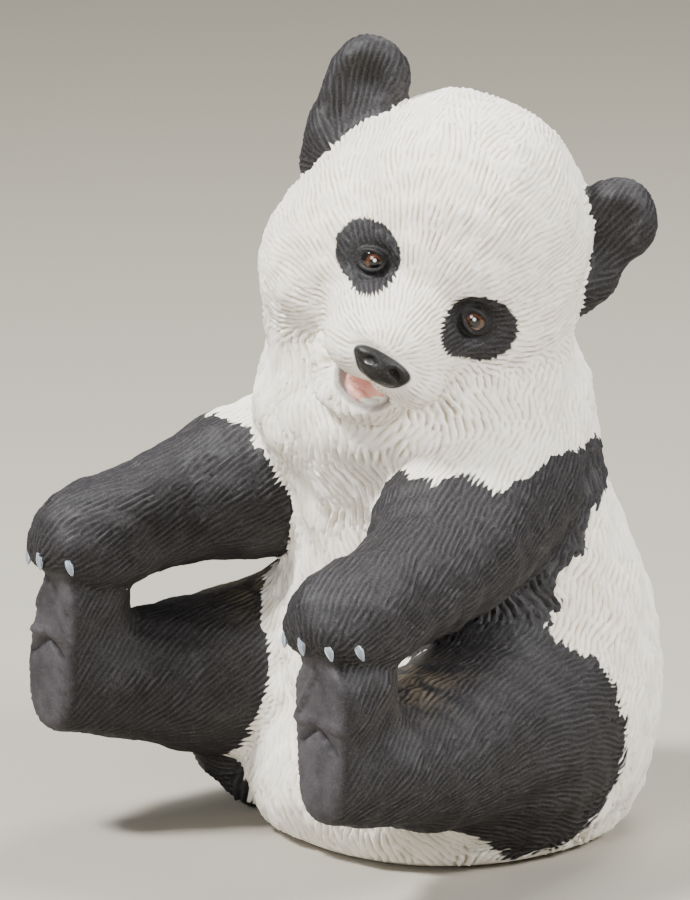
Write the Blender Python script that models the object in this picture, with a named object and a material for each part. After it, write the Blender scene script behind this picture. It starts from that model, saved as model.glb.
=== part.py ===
"""A seated panda cub figurine that holds its own feet, cast in one piece.

Run it with: blender --background --python part.py
Metres, +Z up. The cub's chest faces -Y, its left side is +X, and it sits on z = 0.
"""

import math

import bmesh
import bpy
import numpy as np
from mathutils import Matrix, Vector

# Driving size: the top of the raised ear above the table. Every form is a share of it.
HEIGHT = 0.190
MODEL_UNITS_HIGH = 187.5
UNIT = HEIGHT / MODEL_UNITS_HIGH

# Pose of the head in degrees: turned to the cub's left, nodded, and tilted to the left.
HEAD_TURN = 45.0
HEAD_NOD = 0.0
HEAD_TILT = 30.0
HEAD_CENTRE = (4.5, -10.0, 139.0)

# The masses, in model units: centre, radii and the width of the fillet to the masses before it.
TORSO = (
    ((0, 1, 20), (46, 42, 34), 0),
    ((0, 4, 38), (46.5, 42, 36), 12),
    ((0, 1, 58), (43.5, 38, 42), 12),
    ((0, -20, 12), (40, 27, 18), 10),
    ((0, -6, 90), (34, 34, 32), 14),
    ((3, -1, 104), (28, 28, 24), 10),
    ((-2, -14, 102), (36.5, 33.5, 21), 8),
    ((-6, -14, 116), (27, 29, 18), 6),
)
HAUNCH = ((30, -10, 30), (22, 28, 27))
FOOT = ((49, -75, 45), (9.2, 12, 19.5))
FOOT_CORNER = 8.2
SOLE = -83.0
# The right foot's top leans inwards and narrows, by this far and by this share of its width.
RIGHT_TOES = (3.6, 0.34)
PAW = ((46.5, -71.5, 71), (13, 14.5, 12.3))
CRANIUM = ((1, 2, 4.5), (32, 35, 33))
CHEEK = ((17, -3, -12), (19.5, 22, 22))
BRIDGE = ((0, -29.5, -14.5), (14, 17.5, 10.5))
LIP_PAD = ((5.5, -38, -19.5), (8.5, 8, 5.8))
NOSE = ((0.4, -45, -18.4), (7.0, 4.2, 3.4))
EAR = ((30, 6, 14), (9.2, 6.3, 16))
EAR_TIP = ((31.6, 6, 26.0), (9.7, 5.8, 9.9))
EAR_CUP = ((33, -2.2, 22.5), (8, 6.8, 12))
RIGHT_EAR_SHIFT = (-1.8, 0, -0.6)

# The open mouth, in the head's own axes: the lower jaw, the hollow in it and the tongue.
JAW = ((-2.2, -28, -27.2), (13.4, 13, 9.7))
MOUTH = ((-2.6, -41.5, -23.6), (9.6, 9.5, 7.6))
TONGUE = ((0.2, -35.5, -27.6), (5.6, 6.5, 3.0))

# Limbs on the left side, as stations of x, y, z and radius.
LEG = ((34, -18, 34, 22), (42, -46, 34.5, 18), (47, -63, 36, 14.5))
ARM = ((22, -10, 86, 22), (36, -34, 80.5, 18), (42, -46, 76.5, 14.8), (46, -62, 73, 12.6))

# The eye's place across and up the face, and the radius of its ball.
EYE = (13.1, -2.6)
EYE_BALL = 4.0

# The black coat: the shoulder band's top, its lowest point behind, and its slope under the arm.
BAND_TOP = 96.5
BAND_LOW = 85.0
ARMPIT = (-1.0, 71.5)
ARMPIT_SLOPE = 0.85

# Fineness of the mesh, in model units and triangles.
VOXEL = 1.25
MOST_TRIANGLES = 9600


def smooth_union(a, b, blend):
    """Joins two distances with a fillet about as wide as blend."""
    share = np.clip(0.5 + 0.5 * (b - a) / blend, 0.0, 1.0)
    return b + (a - b) * share - blend * share * (1.0 - share)


def smooth_cut(body, tool, blend):
    """Takes the tool out of the body, with the edge rounded over about blend."""
    return -smooth_union(-body, tool, blend)


def ball(points, centre, radii, turn=None):
    """Distance to an ellipsoid, good near its surface. The matrix turn holds its own axes as columns."""
    local = points - np.asarray(centre, float)
    if turn is not None:
        local = local @ turn
    radii = np.asarray(radii, float)
    near = np.sqrt(((local / radii) ** 2).sum(1)) + 1e-9
    steep = np.sqrt(((local / radii**2) ** 2).sum(1)) + 1e-9
    return near * (near - 1.0) / steep


def block(points, centre, half_size, corner):
    """Distance to a block with corners rounded to that radius."""
    core = np.asarray(half_size, float) - corner
    beyond = np.abs(points - np.asarray(centre, float)) - core
    outside = np.sqrt((np.maximum(beyond, 0.0) ** 2).sum(1))
    return outside + np.minimum(beyond.max(1), 0.0) - corner


def limb(points, stations):
    """Distance to a limb through stations of (x, y, z, radius), round and tapering between them."""
    best = np.full(len(points), 1e3)
    for start, end in zip(stations[:-1], stations[1:]):
        a, b = np.array(start[:3], float), np.array(end[:3], float)
        axis = b - a
        along = np.clip(((points - a) @ axis) / (axis @ axis), 0.0, 1.0)
        radius = start[3] + (end[3] - start[3]) * along
        away = np.sqrt(((points - a - along[:, None] * axis) ** 2).sum(1))
        best = np.minimum(best, away - radius)
    return best


def turned(x=0.0, y=0.0, z=0.0):
    """Rotation matrix for angles in degrees about X, then Y, then Z."""
    made = Matrix.Rotation(math.radians(z), 3, "Z")
    made = made @ Matrix.Rotation(math.radians(y), 3, "Y")
    made = made @ Matrix.Rotation(math.radians(x), 3, "X")
    return np.array(made)


def head_axes():
    """The head's own axes as columns: its left, its back and its crown."""
    made = Matrix.Rotation(math.radians(HEAD_TURN), 3, "Z")
    made = made @ Matrix.Rotation(math.radians(HEAD_NOD), 3, "X")
    made = made @ Matrix.Rotation(math.radians(HEAD_TILT), 3, "Y")
    return np.array(made)


def mirrored(points):
    """The same points folded onto the left side, for what both sides have alike."""
    half = points.copy()
    half[:, 0] = np.abs(half[:, 0])
    return half


def torso(points):
    form = ball(points, *TORSO[0][:2])
    for centre, radii, blend in TORSO[1:]:
        form = smooth_union(form, ball(points, centre, radii), blend)
    return form


def legs(points):
    """Both hind legs at once, each ending in an upright foot with a flat sole."""
    half = mirrored(points)
    leg = smooth_union(ball(half, *HAUNCH), limb(half, LEG), 8)
    heel = np.clip((half[:, 2] - 24.0) / 26.0, 0.0, 1.0)
    toes = np.clip((half[:, 2] - 42.0) / 20.0, 0.0, 1.0) * (points[:, 0] < 0)
    width = 0.78 + 0.22 * heel - RIGHT_TOES[1] * toes
    middle = FOOT[0][0] - RIGHT_TOES[0] * toes
    foot = half.copy()
    foot[:, 0] = FOOT[0][0] + (half[:, 0] - middle) / width
    foot = smooth_cut(block(foot, *FOOT, FOOT_CORNER), half[:, 1] - SOLE, 1.6)
    return smooth_union(leg, foot, 5)


def arms(half):
    return smooth_union(limb(half, ARM), ball(half, *PAW), 6)


def skull(points, half):
    form = ball(points, *CRANIUM)
    form = smooth_union(form, ball(half, *CHEEK), 10)
    form = smooth_union(form, ball(points, *BRIDGE), 8)
    return smooth_union(form, ball(half, *LIP_PAD), 3)


def muzzle(points):
    return smooth_union(ball(mirrored(points), *LIP_PAD), ball(points, *BRIDGE), 3)


def face_depth(x, z):
    """Where the face's surface lies, along the head's own Y, at that width and height."""
    near, far = -60.0, 0.0
    for _ in range(24):
        middle = (near + far) / 2
        at = np.array([[x, middle, z]])
        if skull(at, mirrored(at))[0] < 0:
            far = middle
        else:
            near = middle
    return far


def eyes(form, points):
    """Sinks the sockets and sets in each an eyeball with a raised almond of lids."""
    half = mirrored(points)
    depth = face_depth(*EYE)
    centre = (EYE[0], depth + 3.2, EYE[1])
    turn = turned(y=18, z=14)
    socket = ball(half, (centre[0], centre[1] - 3.2, centre[2]), (5.6, 3.0, 4.0), turn)
    form = smooth_cut(form, socket, 1.6)
    form = smooth_union(form, ball(half, centre, (EYE_BALL, 3.9, EYE_BALL)), 0.3)
    local = (half - np.array(centre)) @ turn
    across = np.sqrt((local[:, 0] / 4.6) ** 2 + (local[:, 2] / 3.0) ** 2) + 1e-9
    off = (across - 1.0) * 3.4
    lid_y = -3.3 + 0.10 * local[:, 0] ** 2
    ring = np.sqrt(off**2 + (local[:, 1] - lid_y) ** 2) - 0.75
    return smooth_union(form, ring, 0.7)


def mouth(form, points):
    """Adds the lower jaw, opens the mouth to the cub's right of centre and lays the tongue in it."""
    form = smooth_union(form, ball(points, *JAW, turned(x=6)), 2)
    form = smooth_cut(form, ball(points, *MOUTH), 1.0)
    form = smooth_union(form, ball(points, *TONGUE, turned(x=20)), 0.6)
    return smooth_union(form, muzzle(points), 0.7)


def nose(form, points):
    form = smooth_union(form, ball(points, *NOSE, turned(x=-20)), 1.0)
    nostril = ball(mirrored(points), (3.8, -49.4, -18.6), (1.5, 2.6, 0.9), turned(y=-35))
    return smooth_cut(form, nostril, 0.5)


def ears(points):
    """Both ears, each a rounded leaf hollowed in front."""
    on_right = points[:, 0:1] < 0
    half = mirrored(points - np.where(on_right, np.array([RIGHT_EAR_SHIFT]), 0.0))
    ear = smooth_union(ball(half, *EAR), ball(half, *EAR_TIP), 4)
    return smooth_cut(ear, ball(half, *EAR_CUP), 2)


def to_head(points):
    """World points in the head's own axes, in which the face looks along -Y."""
    return (points - np.array(HEAD_CENTRE)) @ head_axes()


def head(points):
    """The head without its features, in its own axes."""
    return smooth_union(skull(points, mirrored(points)), ears(points), 2)


def figure(points):
    """Signed distance from the figurine's surface, in model units: below zero inside."""
    on_head = to_head(points)
    form = smooth_union(torso(points), legs(points), 7)
    form = smooth_union(form, arms(mirrored(points)), 2.5)
    form = smooth_union(form, head(on_head), 8)
    form = mouth(form, on_head)
    form = nose(form, on_head)
    form = eyes(form, on_head)
    return smooth_cut(form, points[:, 2], 2.0)


def dark(points):
    """True where the coat is black: limbs, shoulder band, ears, eye patches and nose."""
    half = mirrored(points)
    x, y, z = half.T
    band_foot = np.minimum(ARMPIT[1] + ARMPIT_SLOPE * (y - ARMPIT[0]), BAND_LOW)
    band = (y > -16) & (z > band_foot) & (z < BAND_TOP)
    front = (arms(half) < 0.6) & ((z < BAND_TOP) | (y < -40))
    coat = (legs(points) < 2.4) | front | band
    on_head = to_head(points)
    on_half = mirrored(on_head)
    coat &= head(on_head) > 1.5
    patch = ball(on_half, (15.3, -29, -2.6), (8, 9, 6.8), turned(y=12)) < 0
    pad = ball(on_head, *NOSE, turned(x=-20)) < 0.4
    return coat | (ears(on_head) < 0.6) | patch | pad


def add_ball(made, centre, radii, placed=None):
    """Puts a rough ellipsoid into the bmesh, moved by the matrix placed when there is one."""
    at = Matrix.Translation(centre) @ Matrix.Diagonal((*radii, 1.0))
    if placed is not None:
        at = placed @ at
    bmesh.ops.create_icosphere(made, subdivisions=3, radius=1.0, matrix=at)


def rough_out():
    """All masses as overlapping balls, so that the limbs already close into their two loops."""
    made = bmesh.new()
    for centre, radii, _ in TORSO:
        add_ball(made, centre, radii)
    head_place = Matrix.Translation(HEAD_CENTRE) @ Matrix(head_axes().tolist()).to_4x4()
    add_ball(made, *CRANIUM, head_place)
    add_ball(made, *BRIDGE, head_place)
    for side in (-1, 1):
        for (x, y, z), radii in (HAUNCH, FOOT, PAW):
            add_ball(made, (side * x, y, z), radii)
        for (x, y, z), radii in (CHEEK, EAR, EAR_TIP):
            add_ball(made, (side * x, y, z), radii, head_place)
        for stations in (LEG, ARM):
            for start, end in zip(stations[:-1], stations[1:]):
                for step in range(5):
                    x, y, z, radius = Vector(start).lerp(Vector(end), step / 4)
                    add_ball(made, (side * x, y, z), (radius,) * 3)
    mesh = bpy.data.meshes.new("rough_out")
    made.to_mesh(mesh)
    made.free()
    return mesh


def with_modifier(mesh, kind, **settings):
    """The mesh as one modifier of that kind leaves it."""
    carrier = bpy.data.objects.new("carrier", mesh)
    bpy.context.scene.collection.objects.link(carrier)
    if "vertex_group" in settings:
        weights = settings.pop("weights")
        group = carrier.vertex_groups.new(name=settings["vertex_group"])
        for index, weight in enumerate(weights):
            group.add([index], float(weight), "REPLACE")
    modifier = carrier.modifiers.new(kind.title(), kind)
    for name, value in settings.items():
        setattr(modifier, name, value)
    bpy.context.view_layer.update()
    seen = carrier.evaluated_get(bpy.context.evaluated_depsgraph_get())
    result = bpy.data.meshes.new_from_object(seen)
    bpy.data.objects.remove(carrier)
    return result


def read_points(mesh):
    flat = np.empty(len(mesh.vertices) * 3)
    mesh.vertices.foreach_get("co", flat)
    return flat.reshape(-1, 3)


def settle(mesh, rounds):
    """Moves every vertex along the slope of the distance onto the figurine's surface."""
    points = read_points(mesh)
    for _ in range(rounds):
        here = figure(points)
        slope = np.empty_like(points)
        for axis in range(3):
            nudge = np.zeros(3)
            nudge[axis] = 0.2
            slope[:, axis] = (figure(points + nudge) - here) / 0.2
        slope /= np.sqrt((slope**2).sum(1))[:, None] + 1e-9
        points -= np.clip(here, -2.0, 2.0)[:, None] * slope
    mesh.vertices.foreach_set("co", points.ravel())
    mesh.update()
    return mesh


def fine_where(points):
    """How much of the mesh to give up at each point: little on the face, the ears and the paws."""
    on_head = to_head(points)
    front = np.clip((-12 - on_head[:, 1]) / 10, 0, 1) * (on_head[:, 2] > -40)
    features = np.sqrt((on_head[:, 0] / 24) ** 2 + ((on_head[:, 2] + 14) / 24) ** 2)
    face = front * np.clip(1.6 - features, 0, 1)
    ear = np.clip(1.5 - ears(on_head), 0, 1) * 0.5
    paw = np.clip((-points[:, 1] - 62) / 10, 0, 1) * 0.3
    return 1.0 - np.maximum(np.maximum(face, ear), paw)


def cast():
    """The figurine's skin: roughed out, settled twice, and thinned to few triangles."""
    mesh = with_modifier(rough_out(), "REMESH", mode="VOXEL", voxel_size=2.5)
    mesh = settle(mesh, 6)
    mesh = with_modifier(mesh, "REMESH", mode="VOXEL", voxel_size=VOXEL)
    mesh = settle(mesh, 5)
    give_up = fine_where(read_points(mesh))
    whole = with_modifier(mesh, "TRIANGULATE")
    share = MOST_TRIANGLES / len(whole.polygons)
    thin = with_modifier(
        whole, "DECIMATE", ratio=share, vertex_group="give_up", weights=give_up, vertex_group_factor=1.0
    )
    thin = with_modifier(thin, "TRIANGULATE")
    points = read_points(thin)
    points[np.abs(points[:, 2]) < 0.05, 2] = 0.0
    thin.vertices.foreach_set("co", (points * UNIT).ravel())
    thin.update()
    return thin


def coat_material(name, colour, roughness):
    material = bpy.data.materials.new(name)
    material.use_nodes = True
    shader = material.node_tree.nodes["Principled BSDF"]
    shader.inputs["Base Color"].default_value = (*colour, 1.0)
    shader.inputs["Roughness"].default_value = roughness
    shader.inputs["Metallic"].default_value = 0.0
    material.diffuse_color = (*colour, 1.0)
    return material


def main():
    for old in list(bpy.data.objects):
        bpy.data.objects.remove(old)
    mesh = cast()
    mesh.materials.append(coat_material("white_coat", (0.80, 0.77, 0.71), 0.55))
    mesh.materials.append(coat_material("black_coat", (0.045, 0.043, 0.045), 0.55))
    middles = np.array([face.center[:] for face in mesh.polygons]) / UNIT
    mesh.polygons.foreach_set("material_index", dark(middles).astype(np.int32))
    mesh.shade_smooth()
    cub = bpy.data.objects.new("panda_cub", mesh)
    bpy.context.scene.collection.objects.link(cub)


if __name__ == "__main__":
    main()
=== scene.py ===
import math

import bmesh
import bpy
import numpy as np
from mathutils import Matrix, Vector


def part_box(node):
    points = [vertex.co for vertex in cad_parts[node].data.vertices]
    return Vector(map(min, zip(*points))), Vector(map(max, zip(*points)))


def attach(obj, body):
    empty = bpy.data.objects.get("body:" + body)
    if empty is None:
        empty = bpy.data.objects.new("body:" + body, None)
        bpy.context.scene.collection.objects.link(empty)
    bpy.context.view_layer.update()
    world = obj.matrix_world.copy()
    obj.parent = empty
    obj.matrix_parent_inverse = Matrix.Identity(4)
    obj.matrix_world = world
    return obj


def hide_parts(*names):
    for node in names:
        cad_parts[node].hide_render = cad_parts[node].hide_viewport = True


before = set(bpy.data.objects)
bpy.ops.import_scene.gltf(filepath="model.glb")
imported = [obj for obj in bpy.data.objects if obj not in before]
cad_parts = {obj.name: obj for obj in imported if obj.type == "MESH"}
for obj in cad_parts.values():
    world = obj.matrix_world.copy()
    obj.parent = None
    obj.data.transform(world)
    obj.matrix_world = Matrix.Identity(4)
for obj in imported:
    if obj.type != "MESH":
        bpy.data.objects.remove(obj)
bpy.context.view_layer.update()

bl_info = {
    "name": "Carved porcelain panda cub",
    "version": (1, 0, 0),
    "blender": (4, 5, 0),
    "location": "View3D > Sidebar > Panda cub",
    "description": "Dresses a cast panda cub with carved fur, a painted coat, glazed eyes and claws",
    "category": "Object",
}

CUB = "panda_cub"

# The forms below are in model units, of which the whole figure is 187.5 high.
UNITS_HIGH = 187.5
UNIT = (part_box(CUB)[1].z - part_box(CUB)[0].z) / UNITS_HIGH

# Pose of the head in degrees: turned to the cub's left, nodded, and tilted to the left.
HEAD_TURN = 45.0
HEAD_NOD = 0.0
HEAD_TILT = 30.0
HEAD_CENTRE = (4.5, -10.0, 139.0)

# The masses, in model units: centre, radii and the width of the fillet to the masses before it.
TORSO = (
    ((0, 1, 20), (46, 42, 34), 0),
    ((0, 4, 38), (46.5, 42, 36), 12),
    ((0, 1, 58), (43.5, 38, 42), 12),
    ((0, -20, 12), (40, 27, 18), 10),
    ((0, -6, 90), (34, 34, 32), 14),
    ((3, -1, 104), (28, 28, 24), 10),
    ((-2, -14, 102), (36.5, 33.5, 21), 8),
    ((-6, -14, 116), (27, 29, 18), 6),
)
HAUNCH = ((30, -10, 30), (22, 28, 27))
FOOT = ((49, -75, 45), (9.2, 12, 19.5))
FOOT_CORNER = 8.2
SOLE = -83.0
# The right foot's top leans inwards and narrows, by this far and by this share of its width.
RIGHT_TOES = (3.6, 0.34)
PAW = ((46.5, -71.5, 71), (13, 14.5, 12.3))
CRANIUM = ((1, 2, 4.5), (32, 35, 33))
CHEEK = ((17, -3, -12), (19.5, 22, 22))
BRIDGE = ((0, -29.5, -14.5), (14, 17.5, 10.5))
LIP_PAD = ((5.5, -38, -19.5), (8.5, 8, 5.8))
EAR = ((30, 6, 14), (9.2, 6.3, 16))
EAR_TIP = ((31.6, 6, 26.0), (9.7, 5.8, 9.9))
EAR_CUP = ((33, -2.2, 22.5), (8, 6.8, 12))
RIGHT_EAR_SHIFT = (-1.8, 0, -0.6)

# The open mouth, in the head's own axes: the lower jaw, the hollow in it and the tongue, with the tilt
# of jaw and tongue in degrees.
JAW = ((-2.2, -28, -27.2), (13.4, 13, 9.7))
JAW_TILT = 6
MOUTH = ((-3.2, -40.8, -23.4), (10.8, 10.2, 8.0))
TONGUE = ((0.2, -35.5, -27.6), (5.6, 6.5, 3.0))
TONGUE_TILT = 20
# The gum and the line of the lips, as stations of x, y, z and radius.
GUM = (
    (-9.2, -35.5, -26.0, 1.1),
    (-6.2, -38.0, -28.6, 1.2),
    (-2.0, -39.3, -29.9, 1.2),
    (2.4, -38.4, -29.5, 1.2),
    (5.4, -36.5, -27.6, 1.1),
)
LIP_LINE = (
    (6.0, -43.0, -25.2, 0.5),
    (10.5, -40.5, -23.6, 0.55),
    (14.5, -36.0, -21.6, 0.5),
    (17.0, -31.5, -20.0, 0.3),
)

# The nose pad, broad above and narrow below, its tilt, and how far its middle is to the left.
NOSE_PAD = (((0.5, -45.2, -18.0), (7.4, 4.2, 2.8)), ((0.6, -45.2, -19.6), (4.9, 3.9, 2.9)))
NOSE_TILT = -20
NOSE_MIDDLE = 0.4
# A nostril's comma, as stations of x from the pad's middle, z and radius, and the cleft under the pad.
NOSTRIL = ((1.9, -17.6, 0.7), (3.1, -17.5, 1.15), (4.3, -18.2, 0.95), (5.2, -19.2, 0.5))
CLEFT = ((0.7, -47.6, -22.6, 0.4), (0.9, -46.0, -25.0, 0.5))

# The eyes, across and up in the head's own axes, how deep each centre lies in the face, the ball's
# radius, the hollow of the socket, the bed under the ball, and the almond's turns about Y and Z.
EYES = ((13.7, -2.6), (-12.6, -2.5))
EYE_DEPTH = 3.1
EYE_RADIUS = 3.5
EYE_SOCKET = (5.6, 2.0, 4.0)
EYE_BED = (3.2, 3.1, 3.2)
EYE_TURNS = (18, 14)
# The lids: half their width and height, how far before the eye's centre, how bowed and how thick.
LIDS = (3.5, 2.35)
LID_FRONT = -2.95
LID_BOW = 0.11
LID_RADIUS = 0.52
# The black patches round the eyes: middle, reach across and up, and how far each leans.
PATCHES = (((16.0, -3.4), (8.6, 7.7), -0.15), ((-14.6, -1.6), (8.2, 7.8), 0.3))

# Limbs on the left side, as stations of x, y, z and radius.
LEG = ((34, -18, 34, 22), (42, -46, 34.5, 18), (47, -63, 36, 14.5))
ARM = ((22, -10, 86, 22), (36, -34, 80.5, 18), (42, -46, 76.5, 14.8), (46, -62, 73, 12.6))

# The black coat: the shoulder band's top, its lowest point behind, and its slope under the arm.
BAND_TOP = 96.5
BAND_LOW = 85.0
ARMPIT = (-1.0, 71.5)
ARMPIT_SLOPE = 0.85

# The fold of the right haunch that runs down to the floor under the thigh, as stations of a limb.
SPUR = (
    (-46.0, -38.0, 21.0, 7.0),
    (-43.0, -35.5, 14.0, 6.5),
    (-39.0, -33.0, 8.0, 4.6),
    (-36.0, -31.5, 3.2, 3.2),
)

# The carved soles: the middle across, the raised pad's height and reach, the triangle's foot and top,
# and the height of the chevron crease between them.
SOLE_MIDDLE = 49.2
SOLE_PAD = (36.5, (6.4, 9.0))
SOLE_TRIANGLE = (49.5, 62.5)
SOLE_CREASE = 48.6

# The claws, by their turn outwards round each paw in degrees and their height. Each toe swells over
# its claw, on an oval round the paw's middle.
CLAWS = ((-30, 67.8), (3, 68.0), (31, 67.6), (59, 67.6))
TOE_OVAL = (10.2, 11.4)
TOE = (3.0, 3.0, 4.6)
TOE_LIFT = 2.0
# A claw's half width, depth and length, how far it narrows to its ends, and how far its top leans to
# the cub's right and back into the paw, in degrees.
CLAW = (0.95, 0.9, 2.6)
CLAW_NARROWING = 0.35
CLAW_LEAN = -22
CLAW_TIP_BACK = -10

# What the carver's strokes are like, in model units: the spacing and depth of the fine grooves, the
# half width, length and depth of the tufts, and how far a colour runs out along a tuft. The names of
# the columns come first.
SPACING, GROOVE_DEPTH, HALF_WIDTH, LENGTH, TUFT_DEPTH, RUN_OUT = range(6)
CHEST_STROKES = (1.80, 1.35, 2.4, 13.0, 0.50, 1.7)
HEAD_STROKES = (1.30, 0.66, 1.5, 7.5, 0.36, 1.1)
FACE_STROKES = (1.10, 0.28, 1.2, 4.0, 0.12, 0.7)
ARM_STROKES = (1.35, 0.62, 1.6, 9.0, 0.22, 1.6)
LEG_STROKES = (1.30, 0.54, 1.6, 8.0, 0.22, 1.6)
EAR_STROKES = (1.35, 0.48, 1.4, 8.0, 0.30, 0.8)
# The short-haired face, the point of the muzzle that the hair parts from, and the foot of the left ear.
FACE = ((0, -38, -14), (20, 17, 18))
MUZZLE_TIP = (0.0, -46.0, -15.0)
EAR_FOOT = (29.0, 1.0, 6.0)

# The short waves that make the grooves: their spacing, how far one reaches along, across and off the
# surface, the width of the cubes that they are looked up in, and the seed of their scatter.
WAVE_GAP = 2.0
WAVE_REACH = (3.2, 1.7, 2.0)
WAVE_CUBE = 5.5
WAVE_SEED = 7
# The tufts: how far off the surface one is felt, the cubes that they are looked up in, their curve, the
# height that stands for none, and the seed of their scatter.
TUFT_REACH = 3
TUFT_CUBE = 8.0
TUFT_BEND = 0.024
NO_TUFT = -9
TUFT_SEED = 11

# Where the tan wash was brushed on most, as the middle and reach of each spot: across and up the head for
# forehead and cheek, and along Y and up for the left flank.
FOREHEAD_WASH = ((-6, 16), (17, 13))
CHEEK_WASH = ((-26, -8), (8, 14))
FLANK_WASH = ((4, 60), (16, 18))
# Where the thighs were dusted: the height, the place along Y on the left and on the right, and the reach
# up and along Y.
DUST_HEIGHT = 54
DUST_PLACES = (-52, -26)
DUST_REACH = (5, 11)

# The photograph's width and height in pixels, its pixels to the unit and the pixel of the origin.
PHOTO = (690, 900)
PIXELS_PER_UNIT = 4.25
ORIGIN_PIXEL = (455, 817)
# The camera's distance in units and its sensor's height in millimetres.
CAMERA_DISTANCE = 2000.0
SENSOR = 24.0
# How far the sheet of paper reaches from the cub on every side, in metres.
PAPER_REACH = 4.0
# The lamps: place to the right, up and towards the camera in metres, width in metres, and watts.
LAMPS = (
    ("key", (-0.62, 0.80, 0.42), 0.20, 28.0),
    ("front", (-0.35, 0.15, 1.0), 0.35, 5.5),
    ("right", (0.78, 0.50, 0.60), 0.32, 16.0),
    ("top", (0.3, 1.0, -0.25), 0.5, 11.0),
)
# A Mix node's sockets for its share and its two colours, and that of the mixed colour.
MIX_SOCKETS = (0, 6, 7)
MIX_RESULT = 2
# The height in metres of the point that the lamps aim at, and the strength and tint of the room's own light.
LAMP_AIM = 0.09
ROOM_LIGHT = 0.26
ROOM_TINT = "EFEDE8"


def smooth_union(a, b, blend):
    """Joins two distances with a fillet about as wide as blend."""
    share = np.clip(0.5 + 0.5 * (b - a) / blend, 0.0, 1.0)
    return b + (a - b) * share - blend * share * (1.0 - share)


def smooth_cut(body, tool, blend):
    """Takes the tool out of the body, with the edge rounded over about blend."""
    return -smooth_union(-body, tool, blend)


def ball(points, centre, radii, turn=None):
    """Distance to an ellipsoid, good near its surface. The matrix turn holds its own axes as columns."""
    local = points - np.asarray(centre, float)
    if turn is not None:
        local = local @ turn
    radii = np.asarray(radii, float)
    near = np.sqrt(((local / radii) ** 2).sum(1)) + 1e-9
    steep = np.sqrt(((local / radii**2) ** 2).sum(1)) + 1e-9
    return near * (near - 1.0) / steep


def block(points, centre, half_size, corner):
    """Distance to a block with corners rounded to that radius."""
    core = np.asarray(half_size, float) - corner
    beyond = np.abs(points - np.asarray(centre, float)) - core
    outside = np.sqrt((np.maximum(beyond, 0.0) ** 2).sum(1))
    return outside + np.minimum(beyond.max(1), 0.0) - corner


def limb(points, stations):
    """Distance to a limb through stations of (x, y, z, radius), round and tapering between them."""
    best = np.full(len(points), 1e3)
    for start, end in zip(stations[:-1], stations[1:]):
        a, b = np.array(start[:3], float), np.array(end[:3], float)
        axis = b - a
        along = np.clip(((points - a) @ axis) / (axis @ axis), 0.0, 1.0)
        radius = start[3] + (end[3] - start[3]) * along
        away = np.sqrt(((points - a - along[:, None] * axis) ** 2).sum(1))
        best = np.minimum(best, away - radius)
    return best


def turned(x=0.0, y=0.0, z=0.0):
    """Rotation matrix for angles in degrees about X, then Y, then Z."""
    made = Matrix.Rotation(math.radians(z), 3, "Z")
    made = made @ Matrix.Rotation(math.radians(y), 3, "Y")
    made = made @ Matrix.Rotation(math.radians(x), 3, "X")
    return np.array(made)


def head_axes():
    """The head's own axes as columns: its left, its back and its crown."""
    made = Matrix.Rotation(math.radians(HEAD_TURN), 3, "Z")
    made = made @ Matrix.Rotation(math.radians(HEAD_NOD), 3, "X")
    made = made @ Matrix.Rotation(math.radians(HEAD_TILT), 3, "Y")
    return np.array(made)


def mirrored(points):
    """The same points folded onto the left side, for what both sides have alike."""
    half = points.copy()
    half[:, 0] = np.abs(half[:, 0])
    return half


def torso(points):
    """The trunk and chest, each mass joined to those before it."""
    form = ball(points, *TORSO[0][:2])
    for centre, radii, blend in TORSO[1:]:
        form = smooth_union(form, ball(points, centre, radii), blend)
    return form


def legs(points):
    """Both hind legs at once, each ending in an upright foot with a flat sole."""
    half = mirrored(points)
    leg = smooth_union(ball(half, *HAUNCH), limb(half, LEG), 8)
    heel = np.clip((half[:, 2] - 24.0) / 26.0, 0.0, 1.0)
    toes = np.clip((half[:, 2] - 42.0) / 20.0, 0.0, 1.0) * (points[:, 0] < 0)
    width = 0.78 + 0.22 * heel - RIGHT_TOES[1] * toes
    middle = FOOT[0][0] - RIGHT_TOES[0] * toes
    foot = half.copy()
    foot[:, 0] = FOOT[0][0] + (half[:, 0] - middle) / width
    foot = smooth_cut(block(foot, *FOOT, FOOT_CORNER), half[:, 1] - SOLE, 1.6)
    return smooth_union(leg, foot, 5)


def arms(half):
    """A foreleg and its paw, for points folded onto the left side."""
    return smooth_union(limb(half, ARM), ball(half, *PAW), 6)


def skull(points, half):
    """The head without its ears, in its own axes."""
    form = ball(points, *CRANIUM)
    form = smooth_union(form, ball(half, *CHEEK), 10)
    form = smooth_union(form, ball(points, *BRIDGE), 8)
    return smooth_union(form, ball(half, *LIP_PAD), 3)


def muzzle(points):
    """The bridge of the nose and the two lip pads."""
    return smooth_union(ball(mirrored(points), *LIP_PAD), ball(points, *BRIDGE), 3)


def ears(points):
    """Both ears, each a rounded leaf hollowed in front."""
    on_right = points[:, 0:1] < 0
    half = mirrored(points - np.where(on_right, np.array([RIGHT_EAR_SHIFT]), 0.0))
    ear = smooth_union(ball(half, *EAR), ball(half, *EAR_TIP), 4)
    return smooth_cut(ear, ball(half, *EAR_CUP), 2)


def to_head(points):
    """World points in the head's own axes, in which the face looks along -Y."""
    return (points - np.array(HEAD_CENTRE)) @ head_axes()


def head(points):
    """The head without its features, in its own axes."""
    return smooth_union(skull(points, mirrored(points)), ears(points), 2)


def face_depth(shape, x, z, far):
    """Where a shape's front lies, along the head's own Y before far, at that width and height."""
    near = -60.0
    for _ in range(24):
        middle = (near + far) / 2
        if shape(np.array([[x, middle, z]]))[0] < 0:
            far = middle
        else:
            near = middle
    return far


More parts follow.
